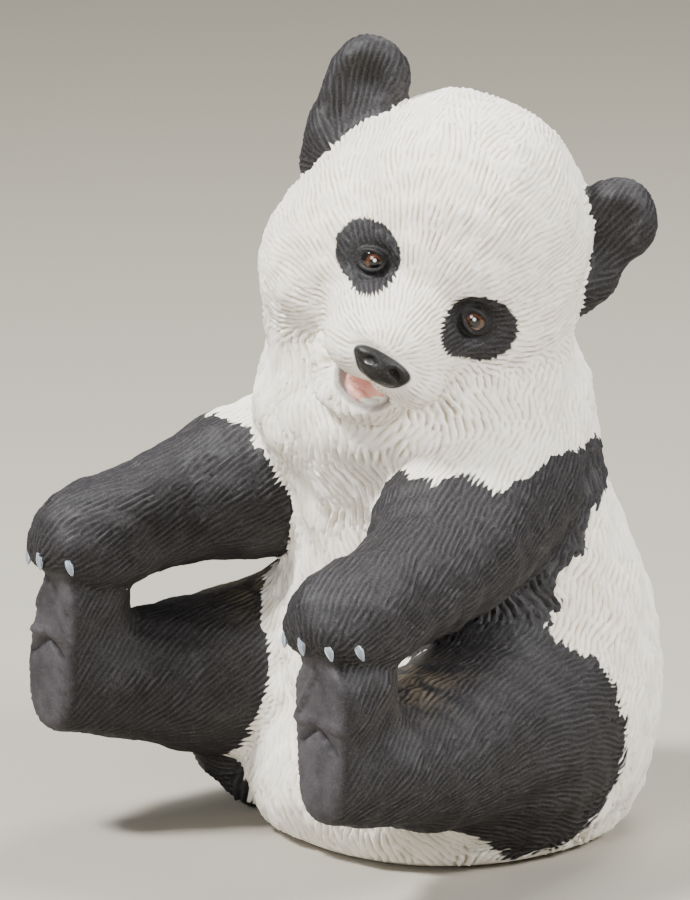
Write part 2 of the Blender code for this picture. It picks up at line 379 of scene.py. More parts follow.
def eye_places():
    """For each eye: its centre in the head's axes and the turn of its almond."""
    places = []
    for x, z in EYES:
        centre = np.array([x, face_depth(lambda at: skull(at, mirrored(at)), x, z, 0.0) + EYE_DEPTH, z])
        side = 1.0 if x > 0 else -1.0
        places.append((centre, turned(y=EYE_TURNS[0] * side, z=EYE_TURNS[1] * side)))
    return places


EYE_PLACES = eye_places()


def eyes(form, on_head):
    """Sinks the sockets and raises an almond of lids round each eyeball."""
    for centre, turn in EYE_PLACES:
        front = centre - np.array([0, EYE_DEPTH, 0])
        form = smooth_cut(form, ball(on_head, front, EYE_SOCKET, turn), 2.4)
        form = smooth_union(form, ball(on_head, centre, EYE_BED), 0.2)
        x, y, z = ((on_head - centre) @ turn).T
        across = np.sqrt((x / LIDS[0]) ** 2 + (z / LIDS[1]) ** 2) + 1e-9
        off = (across - 1.0) * 2.8
        lid = LID_FRONT + LID_BOW * x**2
        ring = np.sqrt(off**2 + (0.8 * (y - lid)) ** 2) - LID_RADIUS
        form = smooth_union(form, ring, 0.9)
    return form


def mouth(form, points):
    """Adds the lower jaw, opens the mouth under the muzzle and lays tongue and gum in it."""
    form = smooth_union(form, ball(points, *JAW, turned(x=JAW_TILT)), 2)
    form = smooth_cut(form, ball(points, *MOUTH), 1.0)
    form = smooth_union(form, ball(points, *TONGUE, turned(x=TONGUE_TILT)), 0.6)
    form = smooth_union(form, limb(points, GUM), 0.5)
    near_mouth = ramp(ball(points, *MOUTH), 4.0, 0.0)
    return smooth_union(form, muzzle(points), 5.0 - 4.3 * near_mouth)


def mouth_lining(points):
    """Distance to the lining of the open mouth, below zero on it and above zero on the muzzle over it."""
    return np.maximum(ball(points, *MOUTH) - 0.25, 0.9 - muzzle(points))


def nose_pad(points):
    """Distance to the nose pad, a rounded triangle."""
    upper, lower = NOSE_PAD
    tilt = turned(x=NOSE_TILT)
    return smooth_union(ball(points, *upper, tilt), ball(points, *lower, tilt), 2.5)


def nose(form, points):
    """Adds the nose pad with its comma nostrils, the cleft under it and the lip lines."""
    form = smooth_union(form, nose_pad(points), 0.5)
    half = mirrored(points - np.array([NOSE_MIDDLE, 0, 0]))
    nostril = []
    for x, z, radius in NOSTRIL:
        front = face_depth(nose_pad, x + NOSE_MIDDLE, z, -45.5)
        nostril.append((x, front - 0.1, z, radius))
    form = smooth_cut(form, limb(half, nostril), 0.5)
    form = smooth_cut(form, limb(points, CLEFT), 0.6)
    return smooth_cut(form, limb(points, LIP_LINE), 0.7)


def sole_relief(half):
    """How deep the flat soles are carved: a raised pad and triangle, a chevron crease and small pits."""
    x, z = half[:, 0] - SOLE_MIDDLE, half[:, 2]
    height, reach = SOLE_PAD
    pad = ramp(np.sqrt((x / reach[0]) ** 2 + ((z - height) / reach[1]) ** 2), 1.15, 0.75)
    foot, top = SOLE_TRIANGLE
    wedge = np.maximum(np.abs(x) - 0.62 * (top - z), (foot - z) * 0.8)
    triangle = np.exp(-((wedge / 0.8) ** 2))
    chevron = z - SOLE_CREASE + 0.75 * np.abs(x + 0.5)
    crease = np.exp(-(chevron**2)) * ramp(np.abs(x), 7.5, 5.5)
    wobble = x + 0.8 * np.sin(1.3 * z)
    pits = np.sin(2.3 * wobble + 0.9 * z) * np.sin(2.4 * z - 1.1 * wobble + 0.7)
    return 1.15 * crease - 0.8 * triangle - 0.45 * pad + 0.14 * pits


def soles(form, half):
    """Presses the carving into the soles."""
    return form + sole_relief(half) * ramp(-half[:, 1], 80.6, 82.0) * ramp(half[:, 2], 66.0, 63.0)


def toes(form, half):
    """Swells the paw's edge into toes, one over each claw."""
    for outwards, z in CLAWS:
        turn = math.radians(outwards)
        x = PAW[0][0] + TOE_OVAL[0] * math.sin(turn)
        y = PAW[0][1] - TOE_OVAL[1] * math.cos(turn)
        form = smooth_union(form, ball(half, (x, y, z + TOE_LIFT), TOE), 2.2)
    return form


def lumps(points):
    """The slow swell and dip that a hand-carved coat has, in model units."""
    x, y, z = points.T
    slow = np.sin(0.21 * x + 0.13 * z + 1.0) * np.sin(0.17 * y - 0.19 * z)
    quick = np.sin(0.47 * x - 0.31 * y + 0.9) * np.sin(0.43 * z + 0.29 * y + 2.0)
    return 0.55 * slow + 0.35 * quick


def bareness(points):
    """One where the surface is smooth, as on the nose, in the mouth and on the soles, and zero in the fur."""
    on_head = to_head(points)
    half = mirrored(points)
    near_nose = nose_pad(on_head) - 0.3
    in_mouth = np.maximum(ball(on_head, *MOUTH) - 1.4, 1.7 - muzzle(on_head))
    near_eye = np.full(len(points), 9.0)
    for centre, turn in EYE_PLACES:
        near_eye = np.minimum(near_eye, ball(on_head, centre, (4.8, 6, 3.8), turn))
    sole = np.maximum(half[:, 1] + 81.6, half[:, 2] - 64.5)
    under = points[:, 2] - 1.2
    least = np.minimum.reduce([near_nose, in_mouth, near_eye, sole, under])
    return np.clip(1.0 - least / 1.5, 0.0, 1.0)


def body(points):
    """Signed distance from the cub's main masses joined together."""
    half = mirrored(points)
    form = smooth_union(torso(points), legs(points), 7)
    form = smooth_union(form, arms(half), 2.5)
    form = smooth_union(form, limb(points, SPUR), 4.0)
    return smooth_union(form, head(to_head(points)), 8)


def figure(points):
    """Signed distance from the figurine's surface without its fur, in model units."""
    on_head = to_head(points)
    half = mirrored(points)
    form = body(points) - lumps(points) * (1.0 - bareness(points))
    form = mouth(form, on_head)
    form = nose(form, on_head)
    form = eyes(form, on_head)
    form = soles(form, half)
    form = toes(form, half)
    return smooth_cut(form, points[:, 2], 2.0)


def unit_rows(vectors):
    """The rows, each scaled to a length of one."""
    return vectors / (np.sqrt((vectors**2).sum(1))[:, None] + 1e-9)


def ramp(value, start, end):
    """Zero at start, one at end, smooth between."""
    share = np.clip((value - start) / (end - start), 0.0, 1.0)
    return share * share * (3.0 - 2.0 * share)


def body_shares(points):
    """How far each point belongs to the head, the ears, the arms and the legs, each from zero to one."""
    on_head = to_head(points)
    half = mirrored(points)
    trunk = torso(points)
    to_ears = ears(on_head)
    to_skull = skull(on_head, mirrored(on_head))
    head_share = ramp(trunk - to_skull, -2.0, 7.0) * ramp(points[:, 2], 96, 108)
    ear_share = ramp(to_skull - to_ears, -0.5, 2.5) * ramp(-to_ears, -4.0, -1.0)
    arm_share = ramp(trunk - arms(half), -3.0, 3.0) * ramp(legs(points) - arms(half), -1.5, 1.5)
    leg_share = ramp(trunk - legs(points), -4.0, 2.0) * ramp(arms(half) - legs(points), -1.5, 1.5)
    return head_share, ear_share, arm_share, leg_share


def stacked(x, y, z):
    """Rows of three from three columns, any of which may be a plain number."""
    return np.stack(np.broadcast_arrays(x, y, z), 1)


def flow(points, normals):
    """The way the hair lies, root to tip, along the surface."""
    on_head = to_head(points)
    side = np.where(points[:, 0] < 0, -1.0, 1.0)
    head_side = np.where(on_head[:, 0] < 0, -1.0, 1.0)
    x, y, z = points.T
    head_x, _, head_z = on_head.T
    head_share, ear_share, arm_share, leg_share = body_shares(points)
    # On the trunk the hair hangs down in waves, and on the head it parts from the tip of the muzzle.
    down = stacked(0.10 * x / 30, -0.12, -1.0)
    sway = 0.45 * np.sin(0.16 * x + 0.11 * y + 0.05 * z) + 0.62 * np.sin(0.42 * z - 0.17 * x + 0.12 * y + 1.3)
    down += sway[:, None] * stacked(np.cos(0.02 * y), np.sin(0.03 * x), 0.0)
    outward = unit_rows(on_head - np.array(MUZZLE_TIP))
    outward += np.array([0.0, 0.25, 0.10])
    swing = 0.22 * np.sin(0.33 * head_z + 0.21 * head_x) + 0.16 * np.sin(0.45 * head_x - 0.2 * head_z)
    outward += swing[:, None] * stacked(-head_z / 30, 0.0, head_x / 30)
    over_head = outward @ head_axes().T
    # It fans out from the foot of each ear, runs forwards down the arms and swirls over the thighs.
    fan = unit_rows(mirrored(on_head) - np.array(EAR_FOOT))
    fan[:, 0] *= head_side
    fan = fan @ head_axes().T
    along_arm = stacked(0.30 * side, -0.78, -0.55)
    swirl = stacked(0.15 * side, -0.9, 0.018 * (y + 16) + 0.012 * (34 - z))
    way = down * (1 - head_share)[:, None] + unit_rows(over_head) * head_share[:, None]
    for share, field in ((arm_share, along_arm), (leg_share, swirl), (ear_share, fan)):
        way = way * (1 - share)[:, None] + unit_rows(field) * share[:, None]
    way -= (way * normals).sum(1)[:, None] * normals
    return unit_rows(way)


def coat_sizes(points):
    """The stroke sizes at each point, faded from one part of the body into the next."""
    on_head = to_head(points)
    head_share, ear_share, arm_share, leg_share = body_shares(points)
    middle, reach = FACE
    x, y, z = ((on_head - np.array(middle)) / np.array(reach)).T
    face = ramp(-np.sqrt(x**2 + z**2 + y**2), -1.5, -0.6) * head_share
    size = np.zeros((len(points), len(CHEST_STROKES))) + np.array(CHEST_STROKES)
    for share, wanted in (
        (head_share, HEAD_STROKES),
        (face, FACE_STROKES),
        (arm_share, ARM_STROKES),
        (leg_share, LEG_STROKES),
        (ear_share, EAR_STROKES),
    ):
        size = size * (1 - share)[:, None] + np.array(wanted) * share[:, None]
    return size


def within(off, edge):
    """Signed measure of being within edge of a mass, made steep on the mass itself."""
    return off - edge - 4.0 * (1.0 - ramp(off, 0.02, 0.85 * edge))


def eye_patch(on_head, centre, radii, lean):
    """Measure of one eye patch, fringed all round by short strokes."""
    x = on_head[:, 0] - centre[0]
    z = on_head[:, 2] - centre[1]
    across, up = x + lean * z, z - lean * x
    reach = np.sqrt((across / radii[0]) ** 2 + (up / radii[1]) ** 2) - 1
    turn = np.arctan2(up, across)
    strokes = np.abs((turn * 8.6 + 0.5 * np.sin(5 * turn)) % 1.0 - 0.5)
    return 7.0 * reach + 2.3 * (strokes - 0.25) + np.where(on_head[:, 1] > -12, 30.0, 0.0)


def black_coat(points):
    """Measure of the black coat, below zero on it: limbs, shoulder band and ears."""
    half = mirrored(points)
    x, y, z = half.T
    on_head = to_head(points)
    skin = body(points)
    # The thighs, with the fold of the right one, then the sleeves up to the wavy top of the band.
    thigh = within(legs(points) - skin, 0.6 + 2.3 * ramp(y, -34, -14))
    thigh = np.minimum(thigh, 2.0 * limb(points, SPUR) - 4.0)
    top = BAND_TOP + 2.0 * np.sin(0.35 * x + 0.2 * y)
    sleeve = np.maximum(within(arms(half) - skin, 0.5), np.minimum(z - top, (y + 40) * 0.7))
    # The band over the shoulders and back, down to a slope under the arm.
    foot = np.minimum(ARMPIT[1] + ARMPIT_SLOPE * (y - ARMPIT[0]), BAND_LOW)
    band = np.maximum.reduce([z - top, (foot - z) * 0.8, -16 - y])
    # The left elbow rests on the thigh, and all between them is black.
    elbow = np.maximum(arms(half), legs(points)) - skin - 9.0
    coat = np.minimum.reduce([thigh, sleeve, band, np.where(points[:, 0] > 0, elbow, 30.0)])
    # The head over them is white, but for the ears.
    coat = np.maximum(coat, 1.5 + skin - head(on_head))
    return np.minimum(coat, within(ears(on_head) - skin, 0.5))


def hashed(cells):
    """One whole number for each row of whole numbers from -512 to 511."""
    x, y, z = (cells + 512).T
    return (x * 1024 + y) * 1024 + z


def choose_roots(points, gap, rng):
    """One random point out of every cube of that width, for an even scatter."""
    order = rng.permutation(len(points))
    cells = hashed(np.floor(points[order] / gap).astype(np.int64))
    firsts = np.unique(cells, return_index=True)[1]
    return order[firsts]


def neighbours(points, middles, width):
    """Walks the points in cubes of that width, each cube's points with the middles in or next to it."""
    order = np.argsort(hashed(np.floor(middles / width).astype(np.int64)), kind="stable")
    sorted_key = hashed(np.floor(middles[order] / width).astype(np.int64))
    cell = np.floor(points / width).astype(np.int64)
    key = hashed(cell)
    by_cell = np.argsort(key, kind="stable")
    starts = np.flatnonzero(np.r_[True, np.diff(key[by_cell]) != 0])
    around = np.array([(i, j, k) for i in (-1, 0, 1) for j in (-1, 0, 1) for k in (-1, 0, 1)])
    for mine in np.split(by_cell, starts[1:]):
        near_keys = hashed(cell[mine[0]] + around)
        low = np.searchsorted(sorted_key, near_keys, "left")
        high = np.searchsorted(sorted_key, near_keys, "right")
        near = np.concatenate([order[a:b] for a, b in zip(low, high)])
        if len(near):
            yield mine, near


def measured(points, mine, middles, near, axes):
    """How far each point is from each middle along that middle's axis."""
    origin = points[mine[0]]
    here = (points[mine] - origin).astype(np.float32)
    there = (middles[near] - origin).astype(np.float32)
    axes = axes[near].astype(np.float32)
    return here @ axes.T - (there * axes).sum(1)


def grooves(points, normals, seed):
    """The fine combed grooves: one on a ridge and zero in a groove, at each point. Short waves laid along
    the hair are summed, which makes wavy parallel lines that fork, and that fade where the waves disagree."""
    rng = np.random.default_rng(seed)
    roots = choose_roots(points, WAVE_GAP, rng)
    middles, up = points[roots], normals[roots]
    way = flow(middles, up)
    beside = np.cross(up, way)
    lean = rng.normal(0.0, 0.08, len(roots))[:, None]
    way, beside = unit_rows(way + beside * lean), unit_rows(beside - way * lean)
    turn = (2 * math.pi / coat_sizes(middles)[:, SPACING]).astype(np.float32)
    phase = rng.uniform(0, 2 * math.pi, len(roots)).astype(np.float32)
    ridge = np.zeros(len(points))
    for mine, near in neighbours(points, middles, WAVE_CUBE):
        along = measured(points, mine, middles, near, way) / WAVE_REACH[0]
        across = measured(points, mine, middles, near, beside)
        off = measured(points, mine, middles, near, up) / WAVE_REACH[2]
        weight = np.exp(-(along**2) - (across / WAVE_REACH[1]) ** 2 - off**2)
        wave = across * turn[near] + phase[near]
        sine = (weight * np.sin(wave)).sum(1)
        cosine = (weight * np.cos(wave)).sum(1)
        swing = np.sqrt(sine**2 + cosine**2) + 1e-6
        clear = np.clip(3.0 * swing / (weight.sum(1) + 1e-6), 0.45, 1.0)
        ridge[mine] = 0.5 + 0.5 * clear * cosine / swing
    return ridge**0.75


def comb(points, normals, gap, seed):
    """Carves overlapping tapered tufts. Gives each point its height, the paint at its tuft's root and a
    random number of the tuft's own."""
    rng = np.random.default_rng(seed)
    roots = choose_roots(points, gap, rng)
    middles, up = points[roots], normals[roots]
    way = flow(middles, up)
    width, length, depth, reach = coat_sizes(middles)[:, HALF_WIDTH:].T.astype(np.float32)
    count = len(roots)
    angle = rng.normal(0.0, 0.10, count)
    beside = np.cross(up, way)
    way = unit_rows(way * np.cos(angle)[:, None] + beside * np.sin(angle)[:, None])
    beside = np.cross(up, way)
    width *= rng.uniform(0.7, 1.3, count).astype(np.float32)
    half_length = 0.5 * length * rng.uniform(0.7, 1.25, count).astype(np.float32)
    bend = (TUFT_BEND * np.sin(middles @ np.array([0.39, 0.23, 0.46]))).astype(np.float32)
    rise = rng.uniform(-0.30, 0.30, count).astype(np.float32)
    tone = rng.uniform(0.0, 1.0, count)
    root_paint = black_coat(middles - way * reach[:, None])
    height = np.full(len(points), float(NO_TUFT))
    paint, shade = np.zeros((2, len(points)))
    for mine, near in neighbours(points, middles, TUFT_CUBE):
        along = measured(points, mine, middles, near, way)
        across = measured(points, mine, middles, near, beside) - bend[near] * along * along
        off = measured(points, mine, middles, near, up)
        along /= half_length[near]
        square = along * along
        taper = width[near] * np.sqrt(np.clip(1 - square * square, 1e-6, 1)) * (1 - 0.25 * along)
        share = (across / taper) ** 2
        inside = (share < 1) & (square < 1) & (np.abs(off) < TUFT_REACH)
        rank = depth[near] * (np.sqrt(np.clip(1 - share, 0, 1)) - 1 + 0.5 * along + rise[near])
        rank = np.where(inside, rank, np.float32(NO_TUFT))
        best = rank.argmax(1)
        top = rank[np.arange(len(mine)), best]
        found = top > NO_TUFT
        hit = mine[found]
        height[hit] = top[found]
        paint[hit] = root_paint[near][best][found]
        shade[hit] = tone[near][best][found]
    missed = height <= NO_TUFT
    height[missed] = -0.9 * coat_sizes(points[missed])[:, TUFT_DEPTH]
    paint[missed] = black_coat(points[missed])
    return height, paint, shade


def linear(code):
    """An sRGB hex code as linear red, green, blue and a full alpha."""
    parts = [int(code[i:i + 2], 16) / 255 for i in (0, 2, 4)]
    return tuple(p / 12.92 if p <= 0.04045 else ((p + 0.055) / 1.055) ** 2.4 for p in parts) + (1.0,)


def add_node(tree, kind, links=(), values=(), **settings):
    """A shader node with its settings, socket values and incoming links."""
    made = tree.nodes.new(kind)
    for name, value in settings.items():
        setattr(made, name, value)
    for name, value in values:
        made.inputs[name].default_value = value
    for name, source in links:
        tree.links.new(source, made.inputs[name])
    return made


def mix_colours(tree, share, first, second):
    """A Mix node's result: the first colour where the share is zero and the second where it is one."""
    made = add_node(tree, "ShaderNodeMix", data_type="RGBA")
    for index, given in zip(MIX_SOCKETS, (share, first, second)):
        feed(tree, made.inputs[index], given)
    return made.outputs[MIX_RESULT]


def feed(tree, socket, given):
    """Sets a socket to a number or colour, or links another node's output to it."""
    if isinstance(given, (float, tuple)):
        socket.default_value = given
    else:
        tree.links.new(given, socket)


def new_material(name, roughness, specular=0.5, coat=0.0, coat_roughness=0.1):
    """A Principled material and its tree and shader, with the values that are the same all over."""
    made = bpy.data.materials.new(name)
    made.use_nodes = True
    tree = made.node_tree
    shader = tree.nodes["Principled BSDF"]
    shader.inputs["Roughness"].default_value = roughness
    shader.inputs["Specular IOR Level"].default_value = specular
    shader.inputs["Coat Weight"].default_value = coat
    shader.inputs["Coat Roughness"].default_value = coat_roughness
    shader.inputs["IOR"].default_value = 1.5
    return made, tree, shader


def painted_bisque(white, black, wash):
    """Unglazed porcelain painted by hand: a chalky white coat, black enamel brushed on in strokes and a tan
    wash that stays in the grooves. The grooves of both coats carry painted shade, and the black ridges a
    painted sheen."""
    made, tree, shader = new_material("painted_bisque_porcelain", 0.52, specular=0.32)

    def value(name):
        return add_node(tree, "ShaderNodeAttribute", attribute_name=name).outputs["Fac"]

    def colour_mix(share, first, second):
        return mix_colours(tree, share, first, second)

    def between(given, low, high, out_low=0.0, out_high=1.0):
        numbers = [("From Min", low), ("From Max", high), ("To Min", out_low), ("To Max", out_high)]
        node = add_node(
            tree,
            "ShaderNodeMapRange",
            links=[("Value", given)],
            values=numbers,
            interpolation_type="SMOOTHSTEP",
        )
        return node.outputs["Result"]

    def times(a, b):
        node = add_node(tree, "ShaderNodeMath", operation="MULTIPLY")
        for socket, given in zip(node.inputs, (a, b)):
            feed(tree, socket, given)
        return node.outputs[0]

    place = add_node(tree, "ShaderNodeTexCoord").outputs["Object"]

    def noise(scale, detail):
        values = [("Scale", scale), ("Detail", detail)]
        return add_node(tree, "ShaderNodeTexNoise", links=[("Vector", place)], values=values).outputs["Fac"]

    # Brush mottling about 6 mm across, and kiln speckle under half a millimetre.
    mottle = noise(160.0, 4.0)
    speck = noise(2200.0, 2.0)
    ridge = value("ridge")
    varied = times(between(value("tone"), 0.0, 1.0), 0.35)
    groove = between(ridge, 0.70, 0.10)
    # White coat: strands vary a little, the wash stays in the grooves where it was brushed, and painted shade
    # darkens the grooves further.
    light = colour_mix(varied, white, linear("E3DBCD"))
    washed = times(times(groove, value("wash")), between(mottle, 0.35, 0.62))
    light = colour_mix(washed, light, wash)
    light = colour_mix(times(value("wash"), 0.30), light, linear("EFE0C8"))
    # Painted shade in the grooves of the white coat.
    light = colour_mix(times(groove, 0.80), light, linear("B3A48B"))
    # Black coat: charcoal in the grooves as painted shade, lighter grey on the ridges as a painted sheen, and
    # brown where a dry brush dusted the ridges of the thighs.
    dark = colour_mix(between(ridge, 0.35, 1.0), black, linear("373538"))
    dark = colour_mix(varied, dark, linear("1C1B1D"))
    dusted = times(times(value("dust"), between(ridge, 0.2, 0.9)), between(mottle, 0.36, 0.54))
    dark = colour_mix(dusted, dark, linear("93846A"))
    leather = colour_mix(between(mottle, 0.35, 0.65), linear("312F33"), linear("434044"))
    dark = colour_mix(value("sole"), dark, leather)
    # The black on the white, then the gum, the open mouth, the lip and the nose over both.
    coat = colour_mix(between(value("coat"), -0.25, 0.25), dark, light)
    coat = colour_mix(between(value("gum"), 0.25, -0.1), coat, linear("E9E2D8"))
    mouth_skin = colour_mix(between(value("tongue"), 0.25, -0.15), linear("6E4A45"), linear("DFA294"))
    mouth_skin = colour_mix(between(value("gum"), 0.3, -0.05), mouth_skin, linear("E6E0D8"))
    coat = colour_mix(between(value("mouth"), 0.35, -0.1), coat, mouth_skin)
    coat = colour_mix(times(between(value("lip"), 1.5, 0.2), 0.75), coat, linear("6B635D"))
    # The nose pad is near black, and its nostril hollows are painted darker still as painted shade.
    pad = colour_mix(between(value("nose"), -0.35, -0.75), linear("1A1819"), linear("050405"))
    coat = colour_mix(between(value("nose"), 0.5, 0.1), coat, pad)
    coat = colour_mix(times(between(speck, 0.45, 0.75), 0.05), coat, linear("B9AFA2"))
    tree.links.new(coat, shader.inputs["Base Color"])
    # The mouth is glossier than the coat and the nostrils are duller.
    rough = between(value("nose"), -0.05, 0.45, 0.52, 0.62)
    wet = between(value("mouth"), -0.1, 0.35, 0.22, 1.0)
    rough = times(rough, between(wet, 0.2, 1.0, 0.6, 1.0))
    rough = times(rough, between(value("nose"), -0.3, -0.6, 1.0, 1.9))
    tree.links.new(rough, shader.inputs["Roughness"])
    bump = [("Strength", 0.12), ("Distance", 0.00008)]
    grit = add_node(tree, "ShaderNodeBump", links=[("Height", speck)], values=bump)
    tree.links.new(grit.outputs["Normal"], shader.inputs["Normal"])
    return made


def glazed_eye(iris):
    """Gloss-glazed eye paint: a black pupil in a brown iris, a dark rim and a white painted highlight as a
    glint.
    """
    made, tree, shader = new_material("gloss_glazed_eye", 0.12, coat=0.6, coat_roughness=0.04)
    ring = add_node(tree, "ShaderNodeAttribute", attribute_name="from_pupil").outputs["Fac"]
    glint = add_node(tree, "ShaderNodeAttribute", attribute_name="from_glint").outputs["Fac"]
    bands = add_node(tree, "ShaderNodeValToRGB")
    share = add_node(tree, "ShaderNodeMath", links=[(0, ring)], values=[(1, 0.25)], operation="MULTIPLY")
    tree.links.new(share.outputs[0], bands.inputs["Fac"])
    stops = bands.color_ramp.elements
    stops[0].position = 0.28
    stops[0].color = linear("0B0908")
    stops[1].position = 0.32
    stops[1].color = linear("2C1A12")
    for position, colour in ((0.38, iris), (0.50, iris), (0.58, linear("2A1913")), (0.66, linear("0E0B0A"))):
        stop = stops.new(position)
        stop.color = colour
    # The glint is a painted highlight: white where the distance from its aim is small.
    edge = [("From Min", 0.50), ("From Max", 0.30)]
    painted_glint = add_node(tree, "ShaderNodeMapRange", links=[("Value", glint)], values=edge)
    mixed = mix_colours(tree, painted_glint.outputs["Result"], bands.outputs["Color"], linear("F2EFEA"))
    tree.links.new(mixed, shader.inputs["Base Color"])
    return made


def claw_enamel(colour):
    """Grey-blue enamel on the claws with a soft gloss, wiped paler round the rim."""
    made, tree, shader = new_material("pale_claw_enamel", 0.35, coat=0.2)
    rim = add_node(tree, "ShaderNodeAttribute", attribute_name="rim").outputs["Fac"]
    bands = add_node(tree, "ShaderNodeValToRGB", links=[("Fac", rim)])
    body, edge = bands.color_ramp.elements
    body.position = 0.5
    body.color = colour
    edge.position = 1.0
    edge.color = linear("DFE2E5")
    tree.links.new(bands.outputs["Color"], shader.inputs["Base Color"])
    return made


def paper(colour):
    """Matt studio paper with a painted pool of light: a little darker away from the cub than under it."""
    made, tree, shader = new_material("matt_studio_paper", 0.9, specular=0.2)
    away = add_node(tree, "ShaderNodeAttribute", attribute_name="away").outputs["Fac"]
    # Painted light: the paper is paler under the cub and fades to the darker paper colour away from it.
    reach = [("From Min", 0.1), ("From Max", 0.8)]
    fade = add_node(tree, "ShaderNodeMapRange", links=[("Value", away)], values=reach)
    tone = mix_colours(tree, fade.outputs["Result"], linear("A39E93"), colour)
    tree.links.new(tone, shader.inputs["Base Color"])
    return made


def read_points(mesh, what="co"):
    """The places of a mesh's vertices as rows of three, or with "normal" their normals."""
    flat = np.empty(len(mesh.vertices) * 3)
    mesh.vertices.foreach_get(what, flat)
    return flat.reshape(-1, 3)


def write_points(mesh, points):
    """Moves a mesh's vertices to those places."""
    mesh.vertices.foreach_set("co", np.ascontiguousarray(points).ravel())
    mesh.update()


def settle(mesh, rounds):
    """Moves every vertex along the slope of the distance onto the figurine's surface."""
    points = read_points(mesh)
    step, most = 0.15, 1.5
    for _ in range(rounds):
        here = figure(points)
        slope = np.empty_like(points)
        for axis in range(3):
            nudge = np.zeros(3)
            nudge[axis] = step
            slope[:, axis] = (figure(points + nudge) - here) / step
        points -= np.clip(here, -most, most)[:, None] * unit_rows(slope)
    write_points(mesh, points)


def with_modifier(mesh, kind, weights=None, **settings):
    """The mesh as one modifier of that kind leaves it."""
    carrier = bpy.data.objects.new("carrier", mesh)
    bpy.context.scene.collection.objects.link(carrier)
    modifier = carrier.modifiers.new(kind.title(), kind)
    if weights is not None:
        group = carrier.vertex_groups.new(name="share")
        levels = 20
        steps = np.round(weights * levels).astype(int)
        for step in np.unique(steps):
            group.add(np.flatnonzero(steps == step).tolist(), float(step) / levels, "REPLACE")
        modifier.vertex_group = "share"
    for name, value in settings.items():
        setattr(modifier, name, value)
    bpy.context.view_layer.update()
    seen = carrier.evaluated_get(bpy.context.evaluated_depsgraph_get())
    result = bpy.data.meshes.new_from_object(seen)
    bpy.data.objects.remove(carrier)
    return result


def put_numbers(mesh, name, numbers):
    """Keeps one number for each vertex under that name, for the materials to read."""
    field = mesh.attributes.new(name, "FLOAT", "POINT")
    field.data.foreach_set("value", np.ascontiguousarray(numbers, dtype=np.float32))


def ease(mesh, rounds):
    """Moves every vertex along its own normal onto the figurine's surface."""
    most = 0.8
    for _ in range(rounds):
        points = read_points(mesh)
        off = np.clip(figure(points), -most, most)
        write_points(mesh, points - off[:, None] * read_points(mesh, "normal"))


def cast_skin(settings):
    """The cub's skin in model units, with its strands carved and its paint laid on as numbers."""
    mesh = with_modifier(cad_mesh(), "REMESH", mode="VOXEL", voxel_size=4 * settings.fineness)
    settle(mesh, 3)
    mesh = with_modifier(mesh, "SUBSURF", levels=2, render_levels=2)
    ease(mesh, 2)
    points, normals = read_points(mesh), read_points(mesh, "normal")
    bare = bareness(points)
    size = coat_sizes(points)
    ridge = grooves(points, normals, WAVE_SEED)
    height, root_paint, tone = comb(points, normals, settings.tuft_gap, TUFT_SEED)
    carve = size[:, GROOVE_DEPTH] * (ridge - 0.6) + height + 0.4 * size[:, TUFT_DEPTH]
    write_points(mesh, points + normals * (carve * (1 - bare) * settings.relief)[:, None])
    run_out = size[:, RUN_OUT] * (0.9 * (ridge - 0.5) + 0.7 * (tone - 0.5))
    coat = 0.55 * black_coat(points) + 0.45 * root_paint + run_out
    put_coat(mesh, points, coat, ridge, bare)
    put_numbers(mesh, "tone", tone)
    put_features(mesh, to_head(points))
    put_brushwork(mesh, points)
    whole = with_modifier(mesh, "TRIANGULATE")
    share = min(1.0, settings.triangles / len(whole.polygons))
    give_up = 1.0 - face_share(read_points(whole))
    return with_modifier(whole, "DECIMATE", weights=give_up, ratio=share, vertex_group_factor=0.6)


def put_coat(mesh, points, coat, ridge, bare):
    """Keeps the measure of the black coat with its eye patches, the soles and the ridges of the hair."""
    half = mirrored(points)
    sole = ramp(-half[:, 1], 81.4, 82.6) * ramp(-half[:, 2], -66.0, -64.0)
    on_head = to_head(points)
    for centre, radii, lean in PATCHES:
        coat = np.minimum(coat, eye_patch(on_head, centre, radii, lean))
    put_numbers(mesh, "coat", coat - 4.0 * sole)
    put_numbers(mesh, "sole", sole)
    # The ridge measure also places the painted shade in the grooves and the painted sheen on black ridges; on
    # smooth skin it is held level, lower on black than on white.
    put_numbers(mesh, "ridge", ridge * (1 - bare) + np.where(coat < 0, 0.4, 0.8) * bare)


def put_features(mesh, on_head):
    """Keeps the distances to nose, mouth, tongue, gum and the mouth's lip."""
    put_numbers(mesh, "nose", nose_pad(on_head))
    put_numbers(mesh, "mouth", mouth_lining(on_head))
    put_numbers(mesh, "tongue", ball(on_head, *TONGUE, turned(x=TONGUE_TILT)) - 0.1)
    put_numbers(mesh, "gum", limb(on_head, GUM) - 0.1)
    lip = np.abs(ball(on_head, *MOUTH) - 0.6) + np.where(muzzle(on_head) < 1.0, 3.0, 0.0)
    put_numbers(mesh, "lip", lip)


def soft_spot(across, up, middle, reach):
    """One in the middle of a spot, fading to zero round it."""
    return np.exp(-(((across - middle[0]) / reach[0]) ** 2) - ((up - middle[1]) / reach[1]) ** 2)


